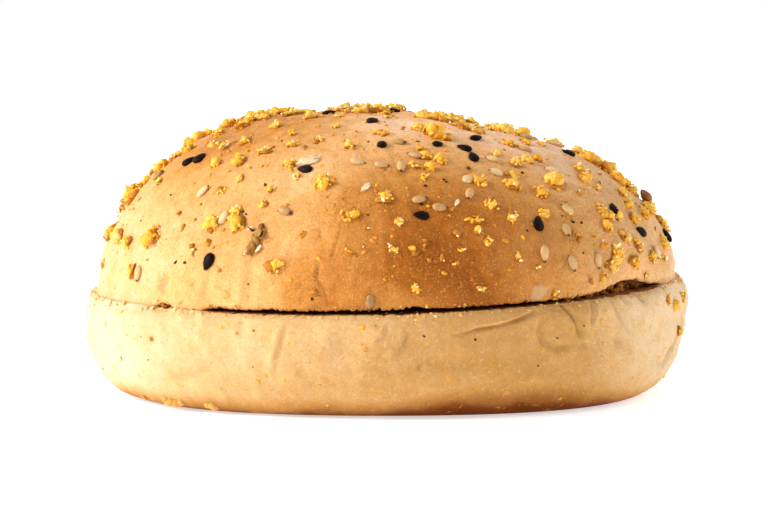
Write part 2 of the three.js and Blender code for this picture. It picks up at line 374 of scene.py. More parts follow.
crust = {
    "lipRound": 0.7,
    "crownWrinkles": {"depth": 0.1, "width": 2.4, "tall": 9, "row": 5.0},
    "heelWrinkles": {"depth": 0.12, "width": 1.9, "tall": 6, "row": 2.0},
    "crownLayers": {"lumps": (13, 1.3), "dimples": (4.2, 0.5), "grain": (1.1, 0.2)},
    "heelLayers": {"lumps": (11, 1.2), "dimples": (4.0, 0.6), "grain": (1.1, 0.22)},
}  # a layer has its size and height in mm


def makeCrown():
    edge = bun["crownEdge"]
    lip = crust["lipRound"]
    rings = [(edge - lip, 0), (edge - 0.22 * lip, 0.25 * lip)]
    firstTurn, lastTurn, bands = 2.4, 71.5, 16
    for i in range(bands):
        turn = math.radians(firstTurn + (lastTurn - firstTurn) * i / (bands - 1))
        rings.append((edge * math.cos(turn) ** bun["fullness"], domeHeight * math.sin(turn)))
    crown = shapeHalf("crownCrust", rings, closeFirst=False, closeLast=True)
    points = readPoints(crown)
    radius = np.hypot(points[:, 0], points[:, 1]) / mm
    capped = (radius < rings[-1][0] * 0.999) & (points[:, 2] > 1 * mm)
    dome = domeHeight * np.sqrt(np.clip(1 - (radius / edge) ** (2 / bun["fullness"]), 0, 1))
    points[:, 2] = np.where(capped, dome * mm, points[:, 2])
    writePoints(crown, points)
    refine(crown)
    closeCut(edge - lip, 0)
    points = readPoints(crown) / mm
    radius = np.hypot(points[:, 0], points[:, 1])
    height = np.clip(points[:, 2], 0, None)
    folds = crownFolds + seededFolds(
        seed=9, count=26, lowest=bun["cut"], highest=36, firstAngle=75, lastAngle=290,
    )
    angle = crowdFront(anglesOf(points))
    placed = crownPlace(angle, radius, height, folds)
    closed = closedAt(angle)
    nearEdge = (1 - ease(height, 0, tornEdge["reach"])) * ease(radius, edge - 5, edge - 1)
    tearEdge(placed, angle, radius, edge, closed, nearEdge, tornEdge["crown"])
    side = ease(radius / edge, 0.6, 0.9) * ease(height, 0, 2)
    addWrinkles(placed, angle, radius, height, side, crust["crownWrinkles"])
    writePoints(crown, placed * mm)
    roughen(crown, ease(height, 0.3, 2.5), crust["crownLayers"])
    return crown, showsCrumb(height < 0.02, radius, edge, closed)


def makeHeel():
    base, widest, edge = bun["base"], bun["widest"], bun["heelEdge"]
    lip = crust["lipRound"]
    rings = [(base - 3, 0)]
    underBands, overBands = 6, 3
    for i in range(underBands + 1):
        turn = math.pi / 2 * i / underBands
        rise = bun["bulgeAt"] * (1 - math.cos(turn) ** bun["bulgeRound"])
        rings.append((base + (widest - base) * math.sin(turn), rise))
    for i in range(1, overBands):
        up = i / overBands
        rise = bun["bulgeAt"] + (bun["cut"] - bun["bulgeAt"]) * up
        rings.append((widest - (widest - edge) * up ** 2, rise))
    rings += [(edge - 0.2 * lip, bun["cut"] - 0.3 * lip), (edge - lip, bun["cut"])]
    heel = shapeHalf("heelCrust", rings, closeFirst=True, closeLast=False)
    refine(heel)
    closeCut(edge - lip, bun["cut"])
    points = readPoints(heel) / mm
    radius = np.hypot(points[:, 0], points[:, 1])
    height = np.clip(points[:, 2], 0, None)
    folds = heelFolds + seededFolds(
        seed=5, count=34, lowest=2.5, highest=bun["cut"] - 0.5, firstAngle=84, lastAngle=284,
    )
    angle = crowdFront(anglesOf(points))
    placed = heelPlace(angle, radius, height, folds)
    closed = closedAt(angle)
    nearEdge = ease(height, bun["cut"] - tornEdge["reach"], bun["cut"]) * ease(radius, edge - 5, edge - 1)
    tearEdge(placed, angle, radius, edge, closed, nearEdge, tornEdge["heel"])
    hollow = bun["baseHollow"] * (1 - ease(radius, 15, base - 3))
    placed[:, 2] += np.where(height < 0.01, hollow, 0)
    side = ease(radius / edge, 0.75, 0.95) * ease(height, 1, 4)
    addWrinkles(placed, angle, radius, height, side, crust["heelWrinkles"])
    writePoints(heel, placed * mm)
    roughen(heel, ease(height, 0.2, 2.2) * ease(bun["cut"] - height, 0.2, 2), crust["heelLayers"])
    return heel, showsCrumb(height > bun["cut"] - 0.02, radius, edge, closed)


def toLinear(hexColour):
    channels = [int(hexColour[i:i + 2], 16) / 255 for i in (1, 3, 5)]
    return tuple(c / 12.92 if c <= 0.04045 else ((c + 0.055) / 1.055) ** 2.4 for c in channels) + (1,)


# Adds one node. A value in inputs is either a plain value or the output socket to link from.
def addNode(material, kind, inputs=None, **settings):
    tree = material.node_tree
    node = tree.nodes.new(kind)
    for name, value in settings.items():
        setattr(node, name, value)
    for name, value in (inputs or {}).items():
        if isinstance(value, bpy.types.NodeSocket):
            tree.links.new(value, node.inputs[name])
        else:
            node.inputs[name].default_value = value
    return node


def newMaterial(name):
    material = bpy.data.materials.new(name)
    material.use_nodes = True
    material.node_tree.nodes.clear()
    place = addNode(material, "ShaderNodeTexCoord").outputs["Object"]
    return material, place


def finishMaterial(material, inputs):
    shader = addNode(material, "ShaderNodeBsdfPrincipled", inputs)
    addNode(material, "ShaderNodeOutputMaterial", {"Surface": shader.outputs["BSDF"]})
    return material


def perMetre(size):
    return 1 / (size * mm)


def noiseAt(material, place, size, detail=2.0, roughness=0.5, distortion=0.0):
    return addNode(material, "ShaderNodeTexNoise", {
        "Vector": place, "Scale": perMetre(size), "Detail": detail,
        "Roughness": roughness, "Distortion": distortion,
    }).outputs["Fac"]


def rampOf(material, value, stops):
    node = addNode(material, "ShaderNodeValToRGB", {"Fac": value})
    ramp = node.color_ramp
    while len(ramp.elements) < len(stops):
        ramp.elements.new(0.5)
    for element, (position, colour) in zip(ramp.elements, stops):
        element.position = position
        element.color = toLinear(colour)
    return node.outputs["Color"]


def mathOf(material, operation, first, second=0.0, clamp=False):
    node = addNode(material, "ShaderNodeMath", {0: first, 1: second}, operation=operation, use_clamp=clamp)
    return node.outputs[0]


def rangeOf(material, value, fromLow, fromHigh, toLow, toHigh):
    return addNode(material, "ShaderNodeMapRange", {
        "Value": value, "From Min": fromLow, "From Max": fromHigh, "To Min": toLow, "To Max": toHigh,
    }, interpolation_type="SMOOTHSTEP").outputs["Result"]


def mixColour(material, share, first, second, blend="MIX"):
    inputs = {0: share, 6: first, 7: second}
    return addNode(material, "ShaderNodeMix", inputs, data_type="RGBA", blend_type=blend).outputs[2]


def bumpOf(material, height, distance, strength):
    inputs = {"Height": height, "Distance": distance * mm, "Strength": strength}
    return addNode(material, "ShaderNodeBump", inputs).outputs["Normal"]


def vectorOf(material, operation, first, second, output):
    node = addNode(material, "ShaderNodeVectorMath", {0: first, 1: second}, operation=operation)
    return node.outputs[output]


def awayFrom(material, place, point):
    return vectorOf(material, "DISTANCE", place, Vector(point) * mm, "Value")


def partOf(material, place, axis):
    return addNode(material, "ShaderNodeSeparateXYZ", {"Vector": place}).outputs[axis]


# A pattern as an uneven shift, so many mm between its lowest and its highest.
def wanderOf(material, pattern, reach):
    return mathOf(material, "MULTIPLY", mathOf(material, "SUBTRACT", pattern, 0.5), reach * mm)


# Adds up weighted patterns, less a constant, held between 0 and 1.
def blendOf(material, shares, less):
    total = 0.0
    for value, share in shares:
        total = mathOf(material, "ADD", mathOf(material, "MULTIPLY", value, share), total)
    return mathOf(material, "SUBTRACT", total, less, clamp=True)


# Makes a colour lighter and darker by a pattern that runs from low to high.
def shadeOf(material, colour, value, low, high):
    grey = rangeOf(material, value, 0.3, 0.7, low, high)
    grey = addNode(material, "ShaderNodeCombineColor", {0: grey, 1: grey, 2: grey}).outputs[0]
    return mixColour(material, 1.0, colour, grey, "MULTIPLY")


# Soft round patches from (centre, reach, weight), in mm, each with its weight for blendOf
def patchesOf(material, place, patches):
    layers = []
    for centre, reach, weight in patches:
        away = awayFrom(material, place, centre)
        layers.append((rangeOf(material, away, 0.12 * reach * mm, reach * mm, 1.0, 0.0), weight))
    return layers


# How far out to the left and right, from 0 to 1 between two distances in mm.
def endsOf(material, place, span):
    sideways = mathOf(material, "ABSOLUTE", partOf(material, place, "X"))
    return rangeOf(material, sideways, span[0] * mm, span[1] * mm, 0.0, 1.0)


# Baked wheat crust: satin, golden to brown, with a fine grain, pale specks painted in as glints, and maize
# dust baked in
crownLook = {
    "browning": [
        (0.0, "#f0ccb2"), (0.26, "#e0a667"), (0.48, "#c58339"), (0.72, "#a35c15"), (1.0, "#7a3a00"),
    ],
    "dull": "#c8a06c",
    "dust": "#cf7a16",
    # the colour of the painted glints: pale specks where the grain would catch the light
    "sugar": "#f0c682",
    "crumb": "#c6a87e",
    "patches": [
        ((12, -50, 28), 41, 0.46),
        ((9, -54, 24), 13, 0.18),
        ((-14, -54, 22), 13, 0.16),
        ((6, -54, 17), 13, -0.34),
        ((-26, -44, 32), 16, 0.1),
        ((50, -24, 32), 20, 0.12),
        ((30, -48, 19), 17, -0.02),
        ((-26, -14, 48), 30, 0.39),
        ((18, -18, 50), 26, -0.05),
        ((-6, 24, 50), 46, 0.3),
        ((8, 52, 28), 40, 0.24),
    ],  # where the oven browned it more or less: centre, reach and how much
    # the top of the dome paler: painted light from above
    "paleTop": (36, 50),
    "paleEnds": (30, 57),  # mm sideways, paler towards the ends: kept pale by neighbours in the oven, and partly painted sheen
    "dullSide": ((54, -20, 24), 46, 0.46),  # greyer low on the right
    "bareCrumb": (27.8, -48, 22.4),  # where the skin came off
    "patchSize": 22,
    "mottle": 2.6,
    "grain": 0.5,
    "paleRim": 4.0,  # mm above the cut where the crust stayed pale
}


def bakedWheatCrust():
    material, place = newMaterial("bakedWheatCrust")
    broad = noiseAt(material, place, crownLook["patchSize"], 3.0, 0.55)
    mottle = noiseAt(material, place, crownLook["mottle"], 4.0, 0.6)
    grain = noiseAt(material, place, crownLook["grain"], 3.0, 0.7)
    level = partOf(material, place, "Z")
    rimTop = (bun["cut"] + crownLook["paleRim"]) * mm
    uneven = mathOf(material, "ADD", level, wanderOf(material, mottle, 7))
    rim = rangeOf(material, uneven, bun["cut"] * mm, rimTop, 1.0, 0.0)
    ends = endsOf(material, place, crownLook["paleEnds"])
    dull, share = patchesOf(material, place, [crownLook["dullSide"]])[0]
    dull = mathOf(material, "MULTIPLY", dull, share)
    # painted light: the top of the dome paler
    litTop = rangeOf(material, level, crownLook["paleTop"][0] * mm, crownLook["paleTop"][1] * mm, 0.0, 1.0)
    layers = [(broad, 0.36), (mottle, 0.3), (grain, 0.24), (rim, 0.02), (ends, -0.03), (litTop, -0.07)]
    layers += patchesOf(material, place, crownLook["patches"])
    bake = blendOf(material, layers, 0.22)
    colour = rampOf(material, bake, crownLook["browning"])
    colour = mixColour(material, dull, colour, toLinear(crownLook["dull"]))
    colour = shadeOf(material, colour, grain, 0.76, 1.22)
    maizeDust = noiseAt(material, place, 1.8, 2.5, 0.6, 0.6)
    isDust = rangeOf(material, maizeDust, 0.63, 0.71, 0.0, 0.6)
    colour = mixColour(material, isDust, colour, toLinear(crownLook["dust"]))
    # painted glints: pale specks in the colour, as if the fine grain caught the light
    glintSpecks = rangeOf(material, noiseAt(material, place, 0.36, 2.0, 0.5), 0.56, 0.7, 0.0, 0.26)
    colour = mixColour(material, glintSpecks, colour, toLinear(crownLook["sugar"]))
    away = awayFrom(material, place, crownLook["bareCrumb"])
    away = mathOf(material, "ADD", away, mathOf(material, "MULTIPLY", mottle, 2.4 * mm))
    bare = rangeOf(material, away, 2.7 * mm, 3.4 * mm, 0.6, 0.0)
    colour = mixColour(material, bare, colour, toLinear(crownLook["crumb"]))
    pits = rangeOf(material, noiseAt(material, place, 1.3, 3.0, 0.6), 0.30, 0.36, 1.0, 0.0)
    bumps = ((grain, 0.8), (glintSpecks, 0.25), (isDust, 0.4), (mottle, 0.35), (pits, -0.12))
    rough = rangeOf(material, mottle, 0.3, 0.7, 0.42, 0.6)
    return finishMaterial(material, {
        "Base Color": colour, "Roughness": rough, "Specular IOR Level": 0.12,
        "Subsurface Weight": 0.2, "Subsurface Radius": (0.0018, 0.0009, 0.0005), "Subsurface Scale": 1.0,
        "Normal": bumpOf(material, blendOf(material, bumps, 0.1), 0.24, 1.0),
    })


# The pale side that rose beside its neighbours: matt and cream with fine pores, and a browned foot
heelLook = {
    "side": [(0.0, "#dfcaac"), (0.35, "#cca470"), (0.62, "#b8884a"), (1.0, "#97622a")],
    "foot": [(0.0, "#b8804a"), (0.5, "#6e3204"), (1.0, "#2c0c00")],
    "footFrom": -0.6,  # mm, full colour here, and faded out higher up
    "footTo": 4.0,
    "flour": "#f0d8ae",
    "dust": "#dd9a3c",
    "pores": "#b0762f",
    # the first patch, low at the front right, is painted shade where the side faces away from the key light
    "patches": [((27, -50, 10), 40, 0.22), ((44, -36, 14), 20, -0.1), ((-12, -54, 5), 14, 0.1)],
    # paler towards the ends: partly painted sheen where the side turns away, partly paler baking beside
    # neighbours
    "paleEnds": (28, 56),
    "darkFoot": (23, -45, 0),  # where the browned foot reaches higher: scorched by the oven floor, and partly painted shade low at the front right
    "darkReach": 37,
    "darkRise": (1.9, -0.8),  # mm there, and far from there
    "tanHeight": 5.5,
}


def paleWheatCrust():
    material, place = newMaterial("paleWheatCrust")
    broad = noiseAt(material, place, 17, 3.0, 0.55)
    mottle = noiseAt(material, place, 3.0, 4.0, 0.6)
    grain = noiseAt(material, place, 0.38, 3.0, 0.7)
    upright = vectorOf(material, "MULTIPLY", place, (1, 1, 0.4), "Vector")
    streaks = noiseAt(material, upright, 1.7, 3.0, 0.6)
    level = partOf(material, place, "Z")
    # the foot's browning rises near here: partly scorched crust, partly painted shade
    away = awayFrom(material, place, heelLook["darkFoot"])
    rise, fall = heelLook["darkRise"]
    lower = rangeOf(material, away, 0.0, heelLook["darkReach"] * mm, rise * mm, fall * mm)
    for layer, share in ((broad, 5), (mottle, 3.5)):
        level = mathOf(material, "ADD", level, wanderOf(material, layer, share))
    level = mathOf(material, "SUBTRACT", level, lower)
    warm = rangeOf(material, level, 0.0, heelLook["tanHeight"] * mm, 1.0, 0.0)
    # paler ends, partly painted sheen
    ends = endsOf(material, place, heelLook["paleEnds"])
    layers = [(broad, 0.4), (mottle, 0.26), (streaks, 0.12), (grain, 0.2), (warm, 0.55), (ends, -0.2)]
    layers += patchesOf(material, place, heelLook["patches"])
    tan = blendOf(material, layers, 0.1)
    side = shadeOf(material, rampOf(material, tan, heelLook["side"]), grain, 0.86, 1.13)
    floury = rangeOf(material, noiseAt(material, place, 0.45, 2.0, 0.5), 0.58, 0.72, 0.0, 0.2)
    side = mixColour(material, floury, side, toLinear(heelLook["flour"]))
    isFoot = rangeOf(material, level, heelLook["footFrom"] * mm, heelLook["footTo"] * mm, 1.0, 0.0)
    foot = blendOf(material, ((mottle, 0.5), (grain, 0.3), (isFoot, 0.5)), 0.3)
    foot = rampOf(material, foot, heelLook["foot"])
    colour = mixColour(material, isFoot, side, foot)
    maizeDust = noiseAt(material, place, 1.7, 2.5, 0.6, 0.6)
    isDust = rangeOf(material, maizeDust, 0.62, 0.7, 0.0, 0.45)
    colour = mixColour(material, isDust, colour, toLinear(heelLook["dust"]))
    pores = rangeOf(material, noiseAt(material, place, 0.9, 3.0, 0.65), 0.32, 0.38, 1.0, 0.0)
    darker = mathOf(material, "MULTIPLY", pores, 0.26)
    colour = mixColour(material, darker, colour, toLinear(heelLook["pores"]))
    height = blendOf(material, ((grain, 0.8), (streaks, 0.9), (mottle, 1.0), (pores, -0.4)), 0.0)
    return finishMaterial(material, {
        "Base Color": colour, "Roughness": 0.75, "Specular IOR Level": 0.05,
        "Subsurface Weight": 0.2, "Subsurface Radius": (0.0022, 0.0013, 0.0008), "Subsurface Scale": 1.0,
        "Normal": bumpOf(material, height, 0.23, 1.0),
    })


# Soft open-pored crumb behind the crust. Its colour is painted shade: darker and browner than the cream
# crumb, as light that has crossed it comes back warm and dark in the slit, and darker still away from the
# rim.
crumbLookAndShade = {"pore": 1.3, "rim": "#ac7038", "deep": "#935626", "deepFrom": 54, "deepTo": 46}


def shadedWheatCrumb():
    material, place = newMaterial("shadedWheatCrumb")
    pores = addNode(material, "ShaderNodeTexVoronoi", {
        "Vector": place, "Scale": perMetre(crumbLookAndShade["pore"]), "Randomness": 1.0,
    }).outputs["Distance"]
    flat = vectorOf(material, "MULTIPLY", place, (1, 1, 0), "Vector")
    reach = vectorOf(material, "LENGTH", flat, (0, 0, 0), "Value")
    # painted shade, deepening from the rim inwards
    depth = rangeOf(material, reach, crumbLookAndShade["deepTo"] * mm, crumbLookAndShade["deepFrom"] * mm, 0.0, 1.0)
    colour = mixColour(material, depth, toLinear(crumbLookAndShade["deep"]), toLinear(crumbLookAndShade["rim"]))
    return finishMaterial(material, {
        "Base Color": shadeOf(material, colour, pores, 0.6, 1.0),
        "Roughness": 0.9, "Specular IOR Level": 0.1,
        "Normal": bumpOf(material, pores, 0.5, 0.9),
    })


def dressHalf(half, crustMaterial, crumbMaterial, onCut):
    half.data.materials.append(crustMaterial)
    half.data.materials.append(crumbMaterial)
    corners = np.empty(len(half.data.loops), dtype=np.int64)
    half.data.loops.foreach_get("vertex_index", corners)
    starts = np.empty(len(half.data.polygons), dtype=np.int64)
    half.data.polygons.foreach_get("loop_start", starts)
    allCut = np.minimum.reduceat(onCut[corners].astype(np.int64), starts)
    half.data.polygons.foreach_set("material_index", allCut.astype(np.int32))
    half.data.update()


# Takes a modelled shape as arrays, in mm, and removes its object.
def takeShape(obj):
    points = readPoints(obj) / mm
    faces = [tuple(face.vertices) for face in obj.data.polygons]
    bpy.data.objects.remove(obj, do_unlink=True)
    return points, faces


def joinCopies(name, copies, material, node, smooth):
    points, faces, tones = [], [], []
    count = 0
    for (shapePoints, shapeFaces), place, tone in copies:
        turned = shapePoints @ np.array(place.to_3x3()).T + np.array(place.translation)
        points.append(turned)
        faces += [tuple(count + i for i in face) for face in shapeFaces]
        tones.append(np.broadcast_to(tone, len(shapePoints)))
        count += len(shapePoints)
    mesh = bpy.data.meshes.new(name)
    mesh.from_pydata((np.concatenate(points) * mm).tolist(), [], faces)
    mesh.attributes.new("tone", "FLOAT", "POINT").data.foreach_set("value", np.concatenate(tones))
    mesh.polygons.foreach_set("use_smooth", [smooth] * len(mesh.polygons))
    mesh.materials.append(material)
    mesh.update()
    piece = bpy.data.objects.new(name, mesh)
    bpy.context.collection.objects.link(piece)
    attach(piece, "root")
    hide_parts(node)
    print(name, len(copies), "copies,", len(mesh.polygons), "faces")


photoView = {
    "width": 768, "height": 512,  # pixels
    "away": 650, "aside": -0.356, "above": 75,
    "down": 4.38,  # degrees below level
    "lens": 159.2,
}
sensorWidth = 36.0
viewPoint = Vector((photoView["aside"], -photoView["away"], photoView["above"]))
viewTurn = Matrix.Rotation(math.radians(90 - photoView["down"]), 3, "X")
viewRight, viewUp, viewBack = viewTurn.col[0], viewTurn.col[1], viewTurn.col[2]


def makeCamera():
    data = bpy.data.cameras.new("photoCamera")
    data.lens = photoView["lens"]
    data.sensor_width = sensorWidth
    data.clip_start = 0.01
    camera = bpy.data.objects.new("photoCamera", data)
    camera.location = viewPoint * mm
    camera.rotation_euler = (math.radians(90 - photoView["down"]), 0, 0)
    bpy.context.collection.objects.link(camera)
    bpy.context.scene.camera = camera


# The line of sight through a pixel of the photo.
def sightThrough(pixel):
    focal = photoView["lens"] / sensorWidth * photoView["width"]
    right = (pixel[0] - photoView["width"] / 2) / focal
    up = (photoView["height"] / 2 - pixel[1]) / focal
    return (viewRight * right + viewUp * up - viewBack).normalized()


def surfaceOf(half):
    points = readPoints(half) / mm
    faces = [tuple(face.vertices) for face in half.data.polygons]
    return BVHTree.FromPolygons(points.tolist(), faces)


def hitAt(surface, pixel):
    at, normal, _, _ = surface.ray_cast(viewPoint, sightThrough(pixel))
    if at is None:  # past the outline: the nearest crust to the line of sight
        towards = viewPoint + sightThrough(pixel) * photoView["away"]
        at, normal, _, _ = surface.find_nearest(towards)
    return at, normal


# A frame on the crust whose X axis shows at the given angle in the photo, counted from the right.
def frameShown(normal, shownAngle):
    shown = viewRight * math.cos(math.radians(shownAngle)) + viewUp * math.sin(math.radians(shownAngle))
    facing = viewBack.dot(normal)
    along = shown - viewBack * (shown.dot(normal) / facing) if abs(facing) > 0.25 else shown
    along = (along - normal * along.dot(normal)).normalized()
    across = normal.cross(along)
    return Matrix((along, across, normal)).transposed().to_4x4()


def placeOn(turn, at, normal, size, lift, tilt):
    place = turn
    for degrees, axis in zip(tilt, "XY"):
        place = place @ Matrix.Rotation(math.radians(degrees), 4, axis)
    place = place @ Matrix.Diagonal((*size, 1))
    place.translation = at + normal * lift
    return place


# A copy of a shape at a pixel of the photo, turned as the photo shows it.
def shownCopy(shape, surface, pixel, shownAngle, size, lift, tilt, tone):
    at, normal = hitAt(surface, pixel)
    return shape, placeOn(frameShown(normal, shownAngle), at, normal, size, lift, tilt), tone


# Shards broken from a hard kernel, each one a small ball with its corners pulled in and out.
def shardShapes(seed, count, uneven):
    draw = random.Random(seed)
    shapes = []
    for _ in range(count):
        selectNothing()
        bpy.ops.mesh.primitive_ico_sphere_add(subdivisions=1, radius=1 * mm, location=(0, 0, 0))
        shard = bpy.context.object
        points = readPoints(shard)
        points *= np.array([[1 + draw.uniform(-uneven, uneven)] for _ in points])
        writePoints(shard, points)
        shapes.append(takeShape(shard))
    return shapes


# A seed lies along X, blunt at one end and pointed at the other.
def seedShape(kind):
    selectNothing()
    detail = kind.get("detail", 2)
    bpy.ops.mesh.primitive_ico_sphere_add(subdivisions=detail, radius=0.5 * mm, location=(0, 0, 0))
    seed = bpy.context.object
    points = readPoints(seed) / mm
    along = points[:, 0] + 0.5
    narrow = 1.12 - kind["taper"] * along ** 1.8
    size = [np.full_like(narrow, kind["length"]), kind["width"] * narrow, kind["thickness"] * narrow]
    writePoints(seed, points * np.stack(size, 1) * mm)
    return takeShape(seed)


grits = {
    "flake": (0.2, 0.52),  # half lengths in mm of the flakes on a grit
    "least": 0.56,  # half width of the smallest grit, and how much each further lump adds
    "more": 0.36,
    "backCount": 230,
    "backSeed": 31,
    "amberSeed": 59,
    "dustCount": 620,
    "dust": (0.15, 0.5),
    "frontPixels": [
        (129, 190, 5), (133, 199, 3), (159, 182, 1), (175, 158, 1), (183, 154, 1), (218, 133, 1),
        (214, 146, 2), (226, 147, 2), (244, 142, 2), (264, 152, 2), (294, 144, 2), (318, 141, 1),
        (350, 147, 2), (216, 164, 2), (239, 162, 3), (290, 165, 2), (325, 184, 4), (322, 178, 1),
        (240, 180, 1), (222, 191, 1), (237, 212, 2), (238, 223, 4), (212, 225, 3), (154, 236, 4),
        (120, 237, 3), (128, 243, 3), (108, 231, 2), (132, 271, 2), (276, 267, 3), (351, 215, 3),
        (384, 196, 2), (270, 190, 1), (264, 204, 1), (296, 177, 1), (276, 127, 2), (336, 127, 1),
        (339, 117, 1), (377, 133, 1), (264, 119, 2), (242, 127, 2), (292, 134, 1), (417, 129, 3),
        (433, 135, 5), (447, 139, 2), (449, 121, 2), (466, 129, 2), (386, 118, 1), (384, 134, 2),
        (420, 149, 1), (426, 157, 2), (414, 166, 1), (428, 168, 2), (424, 178, 1), (440, 162, 2),
        (478, 182, 3), (495, 155, 1), (511, 146, 2), (516, 164, 2), (511, 175, 2), (512, 186, 3),
        (538, 160, 2), (528, 161, 2), (539, 193, 3), (555, 184, 5), (492, 205, 2), (512, 217, 2),
        (543, 214, 2), (475, 221, 2), (478, 231, 1), (487, 242, 1), (519, 258, 1), (537, 268, 0),
        (462, 250, 0), (393, 249, 1), (398, 223, 1), (384, 199, 2), (416, 289, 1), (481, 288, 1),
        (556, 294, 1), (584, 173, 2), (584, 181, 2), (592, 159, 2), (603, 169, 2), (604, 214, 2),
        (606, 226, 2), (617, 215, 2), (627, 204, 2), (631, 187, 2), (633, 219, 2), (645, 217, 1),
        (653, 207, 2), (661, 221, 2), (623, 236, 2), (617, 252, 2), (611, 266, 2), (634, 262, 2),
        (646, 275, 1), (603, 277, 1), (637, 245, 2), (662, 242, 1), (663, 258, 1), (652, 258, 2),
        (541, 145, 1), (526, 144, 1), (262, 118, 4), (297, 114, 2), (364, 108, 5), (379, 112, 3),
        (190, 150, 2), (142, 178, 2), (126, 188, 6), (591, 158, 5), (604, 170, 5), (626, 181, 4),
        (651, 206, 4), (660, 223, 4), (422, 117, 1), (440, 117, 2), (477, 128, 1), (495, 129, 2),
        (310, 112, 1), (285, 116, 1), (243, 127, 3), (218, 135, 3), (176, 157, 2), (108, 229, 3),
        (663, 243, 2), (580, 171, 3), (585, 179, 2), (596, 189, 1), (623, 195, 2), (629, 189, 3),
        (647, 208, 3), (643, 213, 2), (633, 221, 1), (601, 211, 2), (608, 217, 2), (615, 258, 2),
        (617, 250, 2), (625, 236, 1),
    ],  # x, y and how many lumps it has
    "heelPixels": [(682, 297, 1), (675, 306, 2), (679, 331, 1), (668, 300, 1)],
    "heelBack": 14,
    "amberPixels": [
        (184, 228), (202, 203), (208, 243), (276, 267), (313, 289), (333, 205), (365, 229), (364, 246),
        (301, 234), (350, 254), (318, 157), (194, 247), (193, 253), (179, 214), (104, 266), (421, 247),
        (413, 251), (442, 258), (444, 275), (456, 234), (471, 264), (462, 286), (496, 286), (473, 279),
        (456, 263), (385, 279), (393, 268), (423, 243), (575, 234), (579, 237), (593, 237), (580, 193),
        (569, 216), (573, 242), (436, 207), (452, 208), (375, 240), (427, 306), (305, 148), (531, 225),
        (604, 244), (590, 281), (640, 252),
    ],  # grits baked into the crust
    "amberHeel": [
        (104, 371, 1), (566, 301, 1), (152, 338, 0.9), (253, 330, 0.6), (146, 397, 1), (362, 344, 0.6),
        (367, 351, 0.5),
    ],
}
blackSesame = {
    "piece": "blackSesame", "hull": "blackSesameHull", "roughness": 0.5, "gloss": 0.07,
    "stops": [(0.0, "#0e0503"), (0.6, "#1a0c08"), (1.0, "#2a1812")],
    "length": 3.1, "width": 2.05, "thickness": 1.15, "taper": 0.62, "tip": 0, "lift": 0.25,
    "backCount": 34, "backSeed": 37, "backReach": 0.96,
    "frontPixels": [
        (209, 262, 248, 0.4, 1.14), (305, 170, 175), (190, 162, 35), (200, 159, 40), (329, 114, 10),
        (373, 122, 25), (382, 145, 80), (393, 112, 10), (438, 145, 20), (476, 139, 10), (464, 149, 160),
        (473, 158, 120), (421, 216, 178), (538, 224, 88, 0.2, 1.16), (568, 154, 150), (613, 210, 110),
        (640, 232, 145), (666, 236, 120),
    ],  # x, y, the angle at which the pointed end shows, and where it matters how pale and how big it is
}
paleSesame = {
    "piece": "paleSesame", "hull": "paleSesameHull", "roughness": 0.45, "gloss": 0.35,
    "stops": [(0.0, "#5c3214"), (0.2, "#b58850"), (0.6, "#cfaa70"), (1.0, "#e8d2a8")],
    "length": 3.15, "width": 1.75, "thickness": 1.05, "taper": 0.58, "tip": 1.5, "lift": 0.3,
    "backCount": 46, "backSeed": 41, "backReach": 0.96,
    "frontPixels": [
        (139, 274, 265), (204, 192, 40), (224, 219, 240), (286, 212, 340), (382, 166, 0, 0.4),
        (358, 163, 350), (159, 176, 45), (400, 143, 345), (414, 156, 160), (401, 168, 265),
        (468, 180, 20), (469, 195, 255, 0.3), (420, 200, 10, 0.1), (440, 208, 2, 0.1), (495, 173, 170),
        (492, 160, 160), (524, 150, 170), (525, 138, 160), (551, 171, 160), (566, 210, 150),
        (566, 231, 285), (544, 254, 275, 0.4), (572, 264, 285, 0.35), (597, 261, 280), (656, 253, 290),
        (622, 180, 130), (370, 303, 265, -0.05),
    ],
}
linseed = {
    "piece": "linseeds", "hull": "linseedHull", "roughness": 0.3, "gloss": 0.4,
    "stops": [(0.0, "#6b3d14"), (1.0, "#a8703a")],
    "length": 3.4, "width": 2.5, "thickness": 2.0, "taper": 0.45, "tip": 0, "lift": 1.3, "detail": 3,
    "backCount": 2, "backSeed": 43, "backReach": 0.9, "frontPixels": [(642, 200, 160)],
}
darkBits = {
    "size": (0.15, 0.4), "backCount": 46, "backSeed": 47,
    "stops": [(0.0, "#120a07"), (0.6, "#3a261a"), (1.0, "#6b4c30")],
    "frontPixels": [
        (141, 221), (119, 222), (171, 195), (246, 214), (282, 141), (368, 142), (265, 185), (368, 215),
        (176, 262), (248, 284), (312, 299), (185, 263), (418, 142), (444, 180), (446, 182), (425, 186),
        (527, 231), (543, 179), (595, 195), (505, 133), (569, 256), (573, 222), (581, 223), (583, 253),
        # the bit at (562, 216) is a painted shadow under the pale seed at (566, 210)
        (617, 220), (655, 228), (562, 216), (421, 204), (243, 212), (259, 232), (468, 168), (522, 173),
        (599, 183),
    ],
    "heelPixels": [
        (376, 326), (365, 350), (253, 367), (475, 340), (424, 336), (632, 378), (127, 335), (148, 360),
        (584, 326), (557, 338), (538, 366),
    ],
}
huskFlakes = {
    "length": 3.2, "width": 1.35, "backCount": 12, "backSeed": 53,
    "frontPixels": [(310, 163, 12, 1.3, 42), (352, 108, 172, 1.5, 30), (366, 188, 40, 0.7, 20),
                    (556, 143, 165, 0.9, 20), (350, 214, 10, 0.5, 0), (399, 222, 95, 0.6, 0),
                    (227, 147, 30, 0.5, 20), (457, 203, 60, 0.5, 0)],
}  # x, y, the angle shown, the size and how far it stands up
